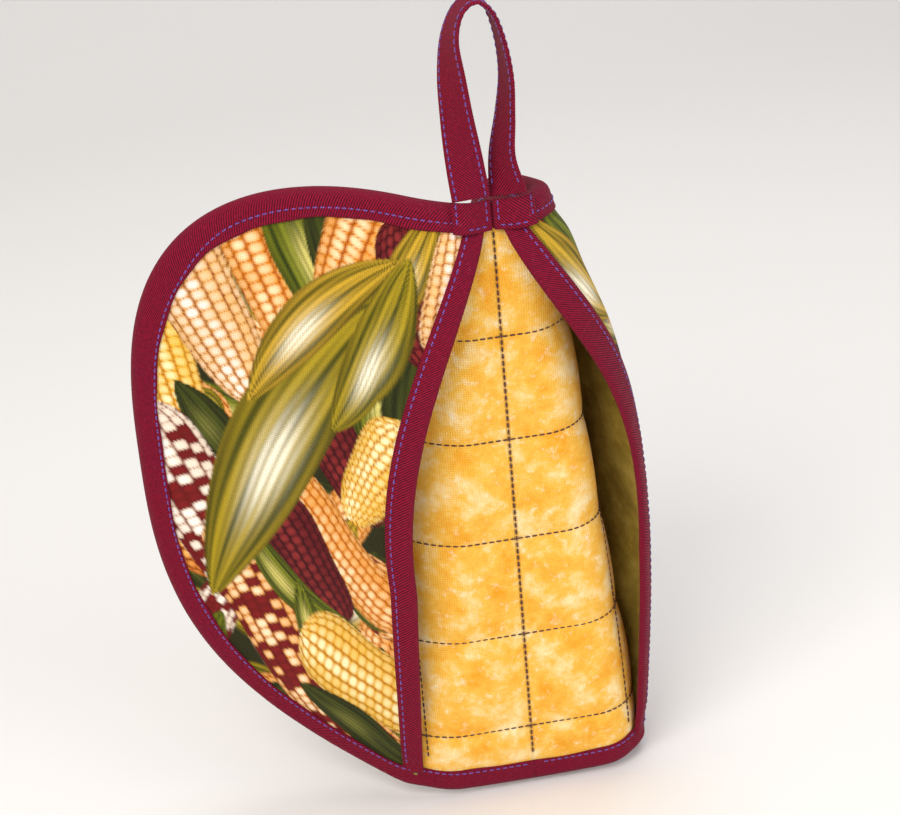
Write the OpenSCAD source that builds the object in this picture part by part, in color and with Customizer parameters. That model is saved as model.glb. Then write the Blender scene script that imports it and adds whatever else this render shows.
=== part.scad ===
// Folding oven mitt: a quilted oval pad bent round a hand, with a thumb pocket, a finger pocket,
// a bound rim and a hanging loop. Units are millimetres, Z is up along the fold, the open pockets
// face -Y, and the origin is at the middle of the palm strip, where the hand holds the mitt.
// A point of the cloth is (u, v, h): u across from the fold, v up along it, h out of the pocket side.

/* [Pad] */
// full width of the pad laid flat
pad_w = 304.8; // [240:1:380]
// height of the pad along the fold
pad_h = 254; // [200:1:320]
// exponent of the oval outline, 2 is an ellipse and more is squarer
outline_n = 2.8; // [2:0.1:4]
// side of one quilted square
quilt_pitch = 43.3; // [25:0.1:70]
// height of one horizontal quilting row, the others are whole squares away
quilt_row0 = -13.4; // [-40:0.1:40]

/* [Layers] */
// thickness of the printed cotton
face_t = 0.7; // [0.4:0.1:1.2]
// thickness of the heat reflecting layer
foil_t = 0.6; // [0.3:0.1:1.2]
// thickness of the pad's cotton batting
batting_t = 4; // [2:0.1:7]
// thickness of the thin batting in a pocket
pocket_batting_t = 1.1; // [0.6:0.1:3]
// thickness of the pocket's lining cotton
pocket_lining_t = 0.5; // [0.3:0.1:1]

/* [Binding] */
// visible width of the rim binding
band = 9.8; // [7:0.1:16]
// thickness of the folded binding tape
tape_t = 1; // [0.6:0.1:1.6]
// visible width of the pocket mouth binding
mouth_band = 9.8; // [7:0.1:16]
// sewing thread as it stands on the cloth
thread = 0.7; // [0.4:0.1:1.2]

/* [Fold] */
// half width of the flat strip at the top of the fold
fold_u0 = 4; // [2:0.5:10]
// lean of each fold line away from upright
fold_lean = 6; // [0:0.5:12]
// turn of the thumb side at its fold
left_turn = 34; // [10:1:80]
// length over which the thumb side turns
left_bend = 30; // [15:1:60]
// how far the thumb side straightens again, degrees over 100 mm
left_relax = 34; // [0:1:50]
// how far the thumb side is pulled up, as a share of the distance from its fold
left_lift = 0.24; // [0:0.01:0.4]
// turn of the finger side at its fold
right_turn = 102; // [60:1:140]
// length over which the finger side turns
right_bend = 32; // [20:1:60]
// how far the finger side straightens again, degrees over 100 mm
right_relax = 6; // [0:1:50]
// how far the finger side is pulled up, as a share of the distance from its fold
right_lift = 0.06; // [0:0.01:0.4]
// distance of each hinge line from the start of its fold
hinge_d = 14; // [8:1:20]

/* [Pockets] */
// how far the thumb pocket stands open at its mouth
left_gape = 16; // [8:1:40]
// how far the finger pocket stands open at its mouth
right_gape = 17; // [8:1:50]
// distance of a pocket mouth from the middle, half way down
mouth_u = 38; // [30:1:60]
// distance of a pocket mouth from the middle at the bottom rim
mouth_u_low = 46; // [38:1:75]

/* [Hanging loop] */
// width of the loop tape
loop_w = 14.4; // [10:0.1:20]
// height of the loop above the rim
loop_h = 76; // [50:1:120]
// widest spread of the loop
loop_spread = 20; // [14:0.5:40]

/* [Hidden] */

A = pad_w / 2;
B = pad_h / 2;
skin_gap = 0.15;                      // between two layers of one body
mouth_gap = 0.5;                      // between the palm and a pocket mouth
joint_gap = 1.7;                      // from a hinge line to each cut layer
rim_gap = 3.8;                        // from a hinge line to each cut binding

// levels of the layers, counted out of the pocket side
lining_lo = -0.2;
lining_hi = lining_lo + face_t;
batting_lo = lining_lo - skin_gap - batting_t;
foil_lo = batting_lo - skin_gap - foil_t;
grip_hi = foil_lo - skin_gap;
grip_lo = grip_hi - face_t;
back_in = grip_lo - skin_gap;
back_out = back_in - tape_t;
mouth_lo = lining_hi + mouth_gap;          // back arm of the pocket mouth binding
plining_lo = mouth_lo + tape_t + skin_gap;
pbatting_lo = plining_lo + pocket_lining_t + skin_gap;
pface_lo = pbatting_lo + pocket_batting_t + skin_gap;
pface_hi = pface_lo + face_t;
front_in = pface_hi + skin_gap;
front_out = front_in + tape_t;
low_in = lining_hi + skin_gap;        // where no pocket lies under the rim
low_out = low_in + tape_t;
cut_x = tape_t + 0.3;                 // layers stop this far inside the outline
rad = PI / 180;

function clamp01(x) = max(0, min(1, x));
function half_h(u, x) = (B - x) * pow(max(0, 1 - pow(abs(u) / (A - x), outline_n)), 1 / outline_n);
function half_w(v, x) = (A - x) * pow(max(0, 1 - pow(min(1, abs(v) / (B - x)), outline_n)),
                                      1 / outline_n);
function edge_r(p, x) = pow(pow(abs(cos(p)) / (B - x), outline_n)
                            + pow(abs(sin(p)) / (A - x), outline_n), -1 / outline_n);

// bend: angle, distance across and distance back at d from the start of a fold
function turn(s) = s < 0 ? left_turn : right_turn;
function bend_w(s) = s < 0 ? left_bend : right_bend;
function relax(s) = -(s < 0 ? left_relax : right_relax) / 100 - 0.0001;
function ang(s, d) = d <= 0 ? 0 : d < bend_w(s) ? turn(s) * d / bend_w(s)
                     : turn(s) + relax(s) * (d - bend_w(s));
function arc_c(a, k, l) = (sin(a + k * l) - sin(a)) / (k * rad);
function arc_b(a, k, l) = (cos(a) - cos(a + k * l)) / (k * rad);
function across(s, d) = d <= 0 ? d : arc_c(0, turn(s) / bend_w(s), min(d, bend_w(s)))
                        + (d > bend_w(s) ? arc_c(turn(s), relax(s), d - bend_w(s)) : 0);
function back(s, d) = d <= 0 ? 0 : arc_b(0, turn(s) / bend_w(s), min(d, bend_w(s)))
                      + (d > bend_w(s) ? arc_b(turn(s), relax(s), d - bend_w(s)) : 0);
function fold_d(u, v) = (u - fold_u0) * cos(fold_lean) + (v - B) * sin(fold_lean);
function fold_t(u, v) = (u - fold_u0) * sin(fold_lean) - (v - B) * cos(fold_lean);
// each side is pulled up along its fold, little near the fold and steadily beyond it
pull_d = 15;
function pull(s, d) = d > 0 ? (s < 0 ? left_lift : right_lift) * d * d / (d + pull_d) : 0;
// the cloth point (u, v, h) of side s, u counted outwards, set in space
function at(s, u, v, h) =
    let (d = fold_d(u, v), t = fold_t(u, v) - pull(s, d), a = ang(s, d),
         c = across(s, d) + h * sin(a), y = back(s, d) - h * cos(a))
    [s * (fold_u0 + t * sin(fold_lean) + c * cos(fold_lean)), y,
     B - t * cos(fold_lean) + c * sin(fold_lean)];
// u on the hinge line moved out by g, at height v
function hinge_u(v, g) = fold_u0 + (hinge_d + g - (v - B) * sin(fold_lean)) / cos(fold_lean);

// pocket mouth: distance from the middle at fraction w of the way down, and how far it stands open
mouth_B = B - band + 1.4;
function way(v) = clamp01((mouth_B - v) / (2 * mouth_B));
function mouth(w) = 3 + (mouth_u - 3) * sin(90 * min(1, w / 0.62))
                    + (mouth_u_low - mouth_u) * clamp01((w - 0.62) / 0.38);
// a pocket stands away from the palm between its mouth and the inner edge of the rim binding
flat_x = band + 1.2;
gape_skew = 0.8;                      // under 1, a pocket stands widest a little above half way
function gape(s, u, v) =
    let (m = mouth(way(v)), e = half_w(v, flat_x), q = clamp01((u - m) / max(1, e - m)),
         top = half_h(u, flat_x), w = clamp01((top - v) / max(1, 2 * top)))
    (s < 0 ? left_gape : right_gape) * sin(180 * pow(w, gape_skew)) * pow(cos(90 * q), 1.3);

// a closed shell between two grids of points
module skin(top, bot, flip = false) {
    r = len(top);
    c = len(top[0]);
    n = r * c;
    pts = [for (g = [top, bot]) for (row = g) for (p = row) p];
    quads = concat(
        [for (i = [0 : r - 2]) for (j = [0 : c - 2])
            [i * c + j, i * c + j + 1, (i + 1) * c + j + 1, (i + 1) * c + j]],
        [for (i = [0 : r - 2]) for (j = [0 : c - 2])
            [n + i * c + j, n + (i + 1) * c + j, n + (i + 1) * c + j + 1, n + i * c + j + 1]],
        [for (i = [0 : r - 2]) [i * c, (i + 1) * c, n + (i + 1) * c, n + i * c]],
        [for (i = [0 : r - 2]) [(i + 1) * c + c - 1, i * c + c - 1, n + i * c + c - 1,
                                n + (i + 1) * c + c - 1]],
        [for (j = [0 : c - 2]) [j + 1, j, n + j, n + j + 1]],
        [for (j = [0 : c - 2]) [(r - 1) * c + j, (r - 1) * c + j + 1, n + (r - 1) * c + j + 1,
                                n + (r - 1) * c + j]]);
    tris = [for (q = quads) each [[q[0], q[1], q[2]], [q[0], q[2], q[3]]]];
    polyhedron(points = pts, faces = flip ? [for (t = tris) [t[2], t[1], t[0]]] : tris);
}

// a layer of the pad on one side of the fold
half_rows = 14;
half_cols = 9;
function half_v(i) =
    let (hi = half_h(hinge_u(B, joint_gap) + 2, cut_x),
         lo = -half_h(hinge_u(-B, joint_gap) + 2, cut_x))
    (hi + lo) / 2 + (hi - lo) / 2 * sin(90 * (1 - 2 * i / half_rows));
function half_grid(s, h) =
    [for (i = [0 : half_rows])
        let (v = half_v(i), a = hinge_u(v, joint_gap), b = half_w(v, cut_x),
             e = max(a + 0.8 * (b - a), half_w(v, band)))
        [for (j = [0 : half_cols])
            at(s, j == half_cols ? b : a + (e - a) * pow(j / (half_cols - 1), 1.4), v, h)]];
module half_layer(s, lo, hi) skin(half_grid(s, hi), half_grid(s, lo), s < 0);

// a layer of the palm strip
mid_rows = 10;
mid_cols = 6;
// column k at height v: two columns on the flat strip, the others round the bend
function mid_u(v, k, gap) =
    let (flat = hinge_u(v, -hinge_d))
    k <= 2 ? flat * k / 2 : flat + (hinge_u(v, -gap) - flat) * (k - 2) / (mid_cols - 2);
function mid_grid(h) =
    [for (i = [0 : mid_rows]) let (w = 1 - 2 * i / mid_rows)
        [for (j = [-mid_cols : mid_cols])
            let (u = mid_u(w * B, abs(j), joint_gap), v = w * half_h(u, cut_x))
            at(j < 0 ? -1 : 1, u, v, h)]];
module mid_layer(lo, hi) skin(mid_grid(hi), mid_grid(lo));

// folded tape round the outline: points are [distance in from the outline, level]
function tape_outer(fo) = [[band, fo], [2, fo], [0, fo - 2], [0, back_out + 2], [2, back_out],
                           [band, back_out]];
function tape_inner(fi) = [[band, fi], [2.4, fi], [tape_t, fi - 1.4], [tape_t, back_in + 1.4],
                           [2.4, back_in], [band, back_in]];
rim_steps = 36;
function rim_a(i) =
    let (a = atan(hinge_u(B, rim_gap) / half_h(hinge_u(B, rim_gap), 0)),
         b = 180 - atan(hinge_u(-B, rim_gap) / half_h(hinge_u(-B, rim_gap), 0)), f = i / rim_steps)
    a + (b - a) * (f - 0.75 * sin(360 * f) / (2 * PI));   // closer together near the folds
function rim_side(s, prof) =
    [for (i = [0 : rim_steps]) let (p = rim_a(i))
        [for (q = prof) let (r = edge_r(p, q[0])) at(s, r * sin(p), r * cos(p), q[1])]];
function rim_mid(up, prof) =
    [for (i = [-mid_cols : mid_cols]) let (u = mid_u(up * B, abs(i), rim_gap))
        [for (q = prof) at(i < 0 ? -1 : 1, u, up * half_h(u, q[0]), q[1])]];
module rim_binding_side(s)
    skin(rim_side(s, tape_outer(front_out)), rim_side(s, tape_inner(front_in)), s < 0);
module rim_binding_mid(up)
    skin(rim_mid(up, tape_outer(low_out)), rim_mid(up, tape_inner(low_in)), up < 0);
stitch_x = band - 1.2;
function thread_sec(x, h) = [[x + thread / 2, h], [x - thread / 2, h]];
module rim_stitch_side(s)
    skin(rim_side(s, thread_sec(stitch_x, front_out + 0.02 + thread * 0.6)),
         rim_side(s, thread_sec(stitch_x, front_out + 0.02)), s < 0);
module rim_stitch_mid(up)
    skin(rim_mid(up, thread_sec(stitch_x, low_out + 0.02 + thread * 0.6)),
         rim_mid(up, thread_sec(stitch_x, low_out + 0.02)), up < 0);

// a pocket mouth runs down in steps, shared by its binding and the pocket's layers
mouth_steps = 20;
mouth_in = 2.2;                       // the cut edge lies this far inside the binding
function mouth_v(i) =
    let (hi = mouth_B - 3, lo = -half_h(mouth_u_low + mouth_band, band + 0.5))
    hi + (lo - hi) * i / mouth_steps;

// pocket layers, from the middle of the mouth binding out to the rim
pocket_rows = mouth_steps + 2;
pocket_cols = 8;
function pocket_v(i) = i == 0 ? mouth_B - 1 : i < pocket_rows ? mouth_v(i - 1)
                       : -half_h(mouth_u_low + mouth_in + 3, cut_x);
function pocket_a(v) = max(mouth(way(v)) + mouth_in, hinge_u(v, joint_gap));
function pocket_grid(s, h) =
    [for (i = [0 : pocket_rows])
        let (v = pocket_v(i), a = pocket_a(v), b = half_w(v, cut_x),
             c = max(a + 3, mouth(way(v)) + mouth_band), e = max(c + 0.7 * (b - c), half_w(v, flat_x)))
        [for (j = [0 : pocket_cols])
            let (u = j == 0 ? a : j == pocket_cols ? b : c + (e - c) * (j - 1) / (pocket_cols - 2))
            at(s, u, v, h + gape(s, u, v))]];
module pocket_layer(s, lo, hi) skin(pocket_grid(s, hi), pocket_grid(s, lo), s < 0);

// the tape folded over a pocket mouth
function arm(x0, x1, h) = [for (k = [0 : 3]) [x0 + (x1 - x0) * k / 3, h]];
function mouth_outer() = concat(arm(mouth_band, 1.4, front_out - 0.05),
                                [[0, front_out - 1.2], [0, mouth_lo + 1.2]],
                                arm(1.4, mouth_band, mouth_lo));
function mouth_inner() = concat(arm(mouth_band, 2, front_in),
                                [[tape_t, front_in - 0.9], [tape_t, mouth_lo + tape_t + 0.9]],
                                arm(2, mouth_band, mouth_lo + tape_t));
function mouth_path(s, prof) =
    [for (i = [0 : mouth_steps]) let (v = mouth_v(i), m = mouth(way(v)))
        [for (q = prof) at(s, m + q[0], v, q[1] + gape(s, m + q[0], v))]];
module mouth_binding(s) skin(mouth_path(s, mouth_outer()), mouth_path(s, mouth_inner()), s > 0);
module mouth_stitch(s)
    skin(mouth_path(s, thread_sec(mouth_band - 1.6, front_out - 0.03 + thread * 0.6)),
         mouth_path(s, thread_sec(mouth_band - 1.6, front_out - 0.03)), s < 0);

// quilting: a row of thread along a straight line of the flat pad
module quilt_row(s, u0, v0, u1, v1, h, t, steps, flip) {
    du = u1 == u0 ? thread / 2 : 0;
    dv = u1 == u0 ? 0 : thread / 2;
    function row(hh) = [for (i = [0 : steps]) let (f = i / steps, u = u0 + (u1 - u0) * f,
                                                   v = v0 + (v1 - v0) * f)
                        [at(s, u - du, v + dv, hh), at(s, u + du, v - dv, hh)]];
    skin(row(h + t), row(h), flip);
}
row_lo = ceil((-B + band + 4 - quilt_row0) / quilt_pitch);
row_hi = floor((B - band - 4 - quilt_row0) / quilt_pitch);
quilt_in = band + 1.5;
module quilt_half(s, h) {
    for (k = [row_lo : row_hi]) {
        v = quilt_row0 + k * quilt_pitch;
        quilt_row(s, hinge_u(v, joint_gap) + 0.5, v, half_w(v, quilt_in), v, h, thread * 0.6, 12,
                  s > 0);
    }
    for (m = [1 : floor((A - quilt_in - 12) / quilt_pitch)]) {
        u = m * quilt_pitch;
        top = half_h(u, quilt_in);
        cut = B - ((u - thread - fold_u0) * cos(fold_lean) - hinge_d - joint_gap - 0.5)
                  / max(0.001, sin(fold_lean));
        quilt_row(s, u, max(-top, cut), u, top, h, thread * 0.6, 10, s > 0);
    }
}
module quilt_mid(h) {
    top = half_h(0, quilt_in);
    quilt_row(1, 0, -top, 0, top, h, thread * 0.6, 2, true);
    for (k = [row_lo : row_hi]) {
        v = quilt_row0 + k * quilt_pitch;
        e = hinge_u(v, -joint_gap) - 0.5;
        quilt_row(1, -0.5, v, e, v, h, thread * 0.6, 7, true);
        quilt_row(-1, -0.5, v, e, v, h, thread * 0.6, 7, false);
    }
}

// hanging loop: a doubled tape, flat on the rim at both ends and turned edge on at the top
loop_t = 1.6;
tab_w = loop_w;
tab_lo = low_out + skin_gap;
tab_hi = tab_lo + loop_t;
tab_in = 0.5;
loop_z = B + 1.6;
loop_y = -(tab_lo + tab_hi) / 2;
tab_mid = tab_in + tab_w / 2;
lx = loop_spread / 20;
loop_ctrl = [[-tab_mid, -4], [-tab_mid, 1.5], [-8.9 * lx, 0.18 * loop_h],
             [-10.5 * lx, 0.42 * loop_h], [-11.3 * lx, 0.63 * loop_h], [-10.9 * lx, 0.82 * loop_h],
             [-7.3 * lx, 0.95 * loop_h], [-1.4 * lx, loop_h], [4.2 * lx, 0.94 * loop_h],
             [7.5 * lx, 0.79 * loop_h], [8.7 * lx, 0.61 * loop_h], [7.3 * lx, 0.42 * loop_h],
             [5.2 * lx, 0.22 * loop_h], [tab_mid - 1.2, 1.5], [tab_mid, -4]];
loop_twist = [0, 4, 18, 40, 54, 74, 86, 90, 92, 95, 100, 108, 122, 156, 176];
function spline(a, b, c, d, t) = 0.5 * (2 * b + (c - a) * t + (2 * a - 5 * b + 4 * c - d) * t * t
                                        + (3 * b - a - 3 * c + d) * t * t * t);
function loop_pt(q) =
    let (i = min(len(loop_ctrl) - 4, floor(q)), t = q - i, g = loop_ctrl, w = loop_twist)
    [spline(g[i], g[i + 1], g[i + 2], g[i + 3], t),
     spline(w[i], w[i + 1], w[i + 2], w[i + 3], t)];
loop_steps = 48;
loop_end = len(loop_ctrl) - 3;
// a strip along the loop from e0 to e1 across the tape, between levels t0 and t1 of its thickness
function loop_rows(e0, e1, t) =
    [for (i = [0 : loop_steps])
        let (q = loop_end * i / loop_steps, a = loop_pt(q), b = loop_pt(q + 0.02),
             c = loop_pt(max(0, q - 0.02)), d = b[0] - c[0], l = norm(d),
             tan3 = [d[0] / l, 0, d[1] / l], flat = [d[1] / l, 0, -d[0] / l],
             w = [0, 1, 0] * -sin(a[1]) + flat * cos(a[1]),
             n = [0, 1, 0] * cos(a[1]) + flat * sin(a[1]),
             o = [a[0][0], loop_y, loop_z + a[0][1]])
        [for (e = [e0, e1]) o + w * e - n * t]];
module loop_strip(e0, e1, t0, t1) skin(loop_rows(e0, e1, t1), loop_rows(e0, e1, t0), true);

// a flat end of the loop on the rim, and its stitching
function tab_grid(s, h, u0, u1, v0, v1) =
    [for (v = [v1, v0]) [for (j = [0 : 5]) at(s, u0 + (u1 - u0) * j / 5, v, h)]];
module tab_slab(s, lo, hi, u0, u1, v0, v1)
    skin(tab_grid(s, hi, u0, u1, v0, v1), tab_grid(s, lo, u0, u1, v0, v1), s < 0);
tab_top = B + 1.2;
tab_low = B - band - 0.2;
module tab_stitching(s) {
    for (u = [tab_in + 1.6, tab_in + tab_w - 1.6])
        tab_slab(s, tab_hi + 0.02, tab_hi + 0.02 + thread * 0.6, u - thread / 2, u + thread / 2,
                 tab_low + 1, tab_top - 1);
    tab_slab(s, tab_hi + 0.02, tab_hi + 0.02 + thread * 0.6, tab_in + 1.6, tab_in + tab_w - 1.6,
             tab_low + 1.6 - thread / 2, tab_low + 1.6 + thread / 2);
}

module grip_face_centre() color("#c8791e") mid_layer(grip_lo, grip_hi);
module grip_face_left() color("#c8791e") half_layer(-1, grip_lo, grip_hi);
module grip_face_right() color("#c8791e") half_layer(1, grip_lo, grip_hi);
module reflective_layer_centre() color("#c9ccd2") mid_layer(foil_lo, foil_lo + foil_t);
module reflective_layer_left() color("#c9ccd2") half_layer(-1, foil_lo, foil_lo + foil_t);
module reflective_layer_right() color("#c9ccd2") half_layer(1, foil_lo, foil_lo + foil_t);
module batting_centre() color("#f2eee4") mid_layer(batting_lo, batting_lo + batting_t);
module batting_left() color("#f2eee4") half_layer(-1, batting_lo, batting_lo + batting_t);
module batting_right() color("#f2eee4") half_layer(1, batting_lo, batting_lo + batting_t);
module palm_lining_centre() color("#f0b040") mid_layer(lining_lo, lining_hi);
module palm_lining_left() color("#f0b040") half_layer(-1, lining_lo, lining_hi);
module palm_lining_right() color("#f0b040") half_layer(1, lining_lo, lining_hi);
module quilting_palm_centre() color("#3a1a1a") quilt_mid(lining_hi + 0.02);
module quilting_palm_left() color("#3a1a1a") quilt_half(-1, lining_hi + 0.02);
module quilting_palm_right() color("#3a1a1a") quilt_half(1, lining_hi + 0.02);
module quilting_grip_centre() color("#3a1a1a") quilt_mid(grip_lo - 0.02 - thread * 0.6);
module quilting_grip_left() color("#3a1a1a") quilt_half(-1, grip_lo - 0.02 - thread * 0.6);
module quilting_grip_right() color("#3a1a1a") quilt_half(1, grip_lo - 0.02 - thread * 0.6);
module rim_binding_top() color("#7a0f2e") rim_binding_mid(1);
module rim_binding_bottom() color("#7a0f2e") rim_binding_mid(-1);
module rim_binding_left() color("#7a0f2e") rim_binding_side(-1);
module rim_binding_right() color("#7a0f2e") rim_binding_side(1);
module rim_stitch_top() color("#8050b0") rim_stitch_mid(1);
module rim_stitch_bottom() color("#8050b0") rim_stitch_mid(-1);
module rim_stitch_left() color("#8050b0") rim_stitch_side(-1);
module rim_stitch_right() color("#8050b0") rim_stitch_side(1);
module thumb_pocket_lining() color("#8c7a2a")
    pocket_layer(-1, plining_lo, plining_lo + pocket_lining_t);
module thumb_pocket_batting() color("#f2eee4")
    pocket_layer(-1, pbatting_lo, pbatting_lo + pocket_batting_t);
module thumb_pocket_face() color("#d98a20") pocket_layer(-1, pface_lo, pface_hi);
module thumb_pocket_binding() color("#7a0f2e") mouth_binding(-1);
module thumb_pocket_stitch() color("#8050b0") mouth_stitch(-1);
module finger_pocket_lining() color("#8c7a2a")
    pocket_layer(1, plining_lo, plining_lo + pocket_lining_t);
module finger_pocket_batting() color("#f2eee4")
    pocket_layer(1, pbatting_lo, pbatting_lo + pocket_batting_t);
module finger_pocket_face() color("#d98a20") pocket_layer(1, pface_lo, pface_hi);
module finger_pocket_binding() color("#7a0f2e") mouth_binding(1);
module finger_pocket_stitch() color("#8050b0") mouth_stitch(1);
module loop_tab_left() color("#7a0f2e")
    tab_slab(-1, tab_lo, tab_hi, tab_in, tab_in + tab_w, tab_low, tab_top);
module loop_tab_right() color("#7a0f2e")
    tab_slab(1, tab_lo, tab_hi, tab_in, tab_in + tab_w, tab_low, tab_top);
module loop_tab_stitch_left() color("#8050b0") tab_stitching(-1);
module loop_tab_stitch_right() color("#8050b0") tab_stitching(1);
module hanging_loop() color("#7a0f2e")
    loop_strip(-loop_w / 2, loop_w / 2, -loop_t / 2, loop_t / 2);
module loop_stitch_left() color("#8050b0")
    loop_strip(-loop_w / 2 + 1.6 - thread / 2, -loop_w / 2 + 1.6 + thread / 2,
               loop_t / 2 + 0.02, loop_t / 2 + 0.02 + thread * 0.6);
module loop_stitch_right() color("#8050b0")
    loop_strip(loop_w / 2 - 1.6 - thread / 2, loop_w / 2 - 1.6 + thread / 2,
               loop_t / 2 + 0.02, loop_t / 2 + 0.02 + thread * 0.6);

grip_face_centre();
grip_face_left();
grip_face_right();
reflective_layer_centre();
reflective_layer_left();
reflective_layer_right();
batting_centre();
batting_left();
batting_right();
palm_lining_centre();
palm_lining_left();
palm_lining_right();
quilting_palm_centre();
quilting_palm_left();
quilting_palm_right();
quilting_grip_centre();
quilting_grip_left();
quilting_grip_right();
rim_binding_top();
rim_binding_bottom();
rim_binding_left();
rim_binding_right();
rim_stitch_top();
rim_stitch_bottom();
rim_stitch_left();
rim_stitch_right();
thumb_pocket_lining();
thumb_pocket_batting();
thumb_pocket_face();
thumb_pocket_binding();
thumb_pocket_stitch();
finger_pocket_lining();
finger_pocket_batting();
finger_pocket_face();
finger_pocket_binding();
finger_pocket_stitch();
loop_tab_left();
loop_tab_right();
loop_tab_stitch_left();
loop_tab_stitch_right();
hanging_loop();
loop_stitch_left();
loop_stitch_right();
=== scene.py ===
"""Looks of a folding oven mitt: quilted pad, two pockets, bound edges and a hanging loop.

A point of the cloth is (u, v, h) in millimetres, as in the CAD model: u counts outwards from the
middle of the fold, v runs up along the fold and h stands out of the pocket side. Every cloth piece
is made twice, for the thumb side (-1) and the finger side (+1), and the two halves meet at u = 0.
"""
import bpy
import numpy as np
from mathutils import Matrix, Vector


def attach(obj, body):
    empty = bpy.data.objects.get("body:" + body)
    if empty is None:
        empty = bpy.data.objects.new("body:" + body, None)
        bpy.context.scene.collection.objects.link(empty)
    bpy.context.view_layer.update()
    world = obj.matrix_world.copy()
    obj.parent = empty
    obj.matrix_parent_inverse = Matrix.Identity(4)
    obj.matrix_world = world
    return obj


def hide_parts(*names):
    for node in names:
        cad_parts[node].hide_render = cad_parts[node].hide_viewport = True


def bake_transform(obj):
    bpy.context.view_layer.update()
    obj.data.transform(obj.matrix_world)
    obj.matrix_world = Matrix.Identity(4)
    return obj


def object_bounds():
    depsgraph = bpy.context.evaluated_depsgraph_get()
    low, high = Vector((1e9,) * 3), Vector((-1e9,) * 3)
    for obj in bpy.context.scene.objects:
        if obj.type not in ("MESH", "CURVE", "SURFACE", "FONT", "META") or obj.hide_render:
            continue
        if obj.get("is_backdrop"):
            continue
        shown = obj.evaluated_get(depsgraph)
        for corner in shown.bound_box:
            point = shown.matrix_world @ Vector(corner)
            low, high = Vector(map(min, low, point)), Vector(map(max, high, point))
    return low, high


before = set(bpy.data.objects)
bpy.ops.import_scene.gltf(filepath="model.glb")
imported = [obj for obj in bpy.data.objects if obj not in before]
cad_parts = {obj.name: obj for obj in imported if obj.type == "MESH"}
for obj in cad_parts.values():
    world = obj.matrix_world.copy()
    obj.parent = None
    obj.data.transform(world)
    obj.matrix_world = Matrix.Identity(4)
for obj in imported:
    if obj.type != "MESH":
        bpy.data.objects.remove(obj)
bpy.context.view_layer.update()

# ---------------------------------------------------------------- sizes, in millimetres
MM = 0.001
HALF_WIDTH, HALF_HEIGHT, OUTLINE = 152.4, 127.0, 2.8     # the pad laid flat, and its outline's exponent
QUILT_PITCH, QUILT_ROW = 43.3, -13.4                     # quilted squares, and the height of one row
BAND, MOUTH_BAND, TAPE = 9.8, 7.8, 1.0                   # visible tape widths, and the tape's thickness
FLAT_U, LEAN = 4.0, np.radians(6)                        # flat strip at the fold, lean of each fold line
TURN = {-1: 34.0, 1: 102.0}                              # degrees that each side turns at its fold
BEND = {-1: 30.0, 1: 32.0}                               # length over which it turns
RELAX = {-1: 0.3401, 1: 0.0601}                          # degrees a millimetre that it straightens again
LIFT = {-1: 0.24, 1: 0.06}                               # pull along the fold, as a share of the distance
LIFT_START = 15.0                                        # distance over which that pull sets in
HINGE, HINGE_REACH = 14.0, 12.0                          # hinge line past the fold's start, bend each way
GAPE = {-1: 16.0, 1: 17.0}                               # how far each pocket's mouth stands open
GAPE_SKEW = 0.8                                          # under 1, widest a little above half way
MOUTH_U, MOUTH_LOW, MOUTH_TOP = 38.0, 46.0, 118.6        # the pocket mouth's course
LINING_OUT, GRIP_OUT = 0.5, -6.0                         # outer faces of the pad's two cottons
POCKET_IN, POCKET_OUT = 2.15, 4.75                       # inner and outer face of a pocket
FRONT_OUT, FRONT_LOW, BACK_OUT = 5.9, 1.65, -7.15        # rim tape over a pocket, without one, behind
PAD_EDGE, FILL_EDGE = 3.0, 3.6                           # the cottons and the filling end this far in
PUFF_FRONT, PUFF_BACK = 2.6, 2.4                         # how far the pillows swell on each face
RIM_INSIDE = 1.2                                         # clear of the tape's inner edge
LOOP_WIDTH, LOOP_THICK, LOOP_HEIGHT = 14.4, 1.6, 76.0
# rows of stitches: distance from one stitch to the next, a stitch's length and its width
QUILT_STITCH = (2.9, 2.3, 0.75)
RIM_STITCH = (2.85, 2.0, 0.75)
MOUTH_STITCH = (3.2, 2.2, 0.75)
LOOP_STITCH = (3.0, 2.1, 0.75)
LOOP_END_STITCH = (2.8, 2.0, 0.75)
LOOP_SEAM = 1.7                                          # the loop's stitches, from its edge
SIDES = {"thumb": -1, "finger": 1}
END = {-1: "left", 1: "right"}


# ---------------------------------------------------------------- the cloth in space
def smooth(x):
    """0 below 0, 1 above 1, and a smooth cubic step between them."""
    x = np.clip(x, 0, 1)
    return x * x * (3 - 2 * x)


def half_width(v, inset):
    """Distance from the middle to the outline moved in by inset, at height v: a superellipse."""
    w = 1 - np.minimum(1, np.abs(v) / (HALF_HEIGHT - inset)) ** OUTLINE
    return (HALF_WIDTH - inset) * w ** (1 / OUTLINE)


def half_height(u, inset):
    """Height of the outline moved in by inset, at distance u from the middle."""
    w = 1 - np.minimum(1, np.abs(u) / (HALF_WIDTH - inset)) ** OUTLINE
    return (HALF_HEIGHT - inset) * w ** (1 / OUTLINE)


def arc(start, rate, length):
    """Distances across and back along an arc that starts at an angle and turns at a rate."""
    a, b, k = np.radians(start), np.radians(start + rate * length), np.radians(rate)
    return (np.sin(b) - np.sin(a)) / k, (np.cos(a) - np.cos(b)) / k


# the layers' middle level at the rim, how far they are squeezed towards it, and how far in that reaches
RIM_MIDDLE, RIM_SQUEEZE, RIM_REACH = -0.8, 0.62, 0.16


def inward(u, v):
    """1 on the outline, falling towards 0 in the middle: the superellipse that a point lies on."""
    across, along = np.abs(u) / HALF_WIDTH, np.abs(v) / HALF_HEIGHT
    return (across ** OUTLINE + along ** OUTLINE) ** (1 / OUTLINE)


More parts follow.
